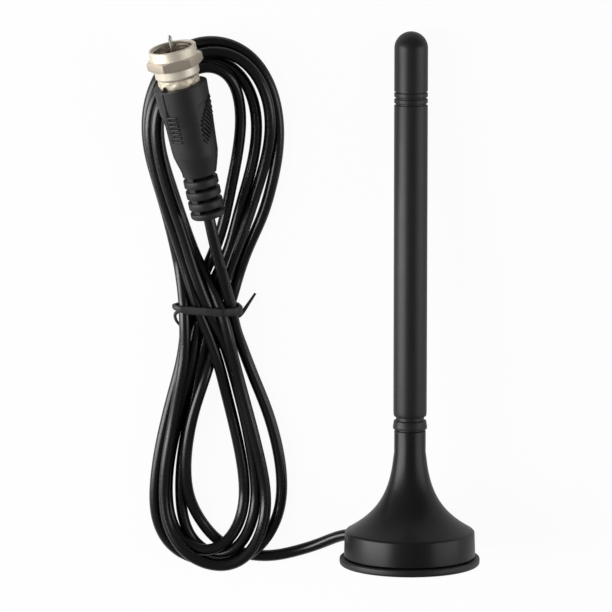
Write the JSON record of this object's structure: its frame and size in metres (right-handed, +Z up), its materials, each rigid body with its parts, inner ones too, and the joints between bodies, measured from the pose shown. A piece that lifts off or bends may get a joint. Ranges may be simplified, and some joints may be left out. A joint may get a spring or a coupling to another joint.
{
  "type": "antenna",
  "caption": "Small magnetic-base television whip antenna lying on its side, with its thin coaxial lead folded into a tied figure-of-eight hank and ending in an F plug.",
  "frame": {"origin": "on the table that the antenna lies on, under the middle of the box around the antenna without its lead and plug", "axes": "+X across the whip, +Y from the magnetic base to the domed tip, +Z up from the table; the whip's own axis drops towards the tip"},
  "size_m": [0.0765, 0.1281, 0.0319],
  "materials": {
    "base_plastic": "satin moulded plastic",
    "foot_rubber": "matte rubber",
    "magnet": "bare ferrite",
    "plated_steel": "tin-plated",
    "brass": "turned",
    "copper": "drawn wire",
    "whip_rubber": "matte moulded rubber",
    "white_plastic": "natural nylon",
    "lead_jacket": "glossy PVC jacket",
    "tie_plastic": "matte coated wire",
    "grip_plastic": "matte moulded PVC",
    "nickel": "turned and nickel-plated",
    "pin_metal": "bright drawn"
  },
  "bodies": {
    "base": {"base_shell": "base_plastic", "foot_ring": "foot_rubber", "base_pad": "foot_rubber", "magnet": "magnet", "magnet_cup": "plated_steel", "ground_plate": "brass", "threaded_insert": "brass", "core_wire": "copper", "braid_tail": "plated_steel", "cable_grommet": "foot_rubber", "cable_crimp": "plated_steel", "cord_lead": "lead_jacket", "cord_hank": "lead_jacket", "cord_tail": "lead_jacket", "cable_tie": "tie_plastic", "plug_grip": "grip_plastic", "crimp_sleeve": "plated_steel", "connector_body": "nickel", "contact_insulator": "white_plastic", "centre_pin": "pin_metal"},
    "washer": {"seal_washer": "foot_rubber"},
    "whip": {"whip_ferrule": "brass", "whip_collar": "whip_rubber", "coil_former": "white_plastic", "loading_coil": "copper", "whip_rod": "plated_steel", "whip_sleeve": "whip_rubber"},
    "nut": {"connector_nut": "nickel"}
  },
  "joints": [
    {"name": "whip_lift", "type": "slide", "parent": "base", "child": "washer", "axis": [0, 0.9946, -0.1034], "range_m": [0, 0.00817]},
    {"name": "whip_turn", "type": "hinge", "parent": "washer", "child": "whip", "pos_m": [0, -0.02903, 0.01281], "axis": [0, 0.9946, -0.1034], "range_deg": [0, 4204]},
    {"name": "nut_spin", "type": "hinge", "parent": "base", "child": "nut", "pos_m": [-0.0523, 0.05291, 0.01093], "axis": [-0.199, 0.9782, 0.0593], "continuous": true}
  ],
  "couplings": [
    {"joint": "whip_turn", "follows": "whip_lift", "rad_per_m": 8976}
  ]
}
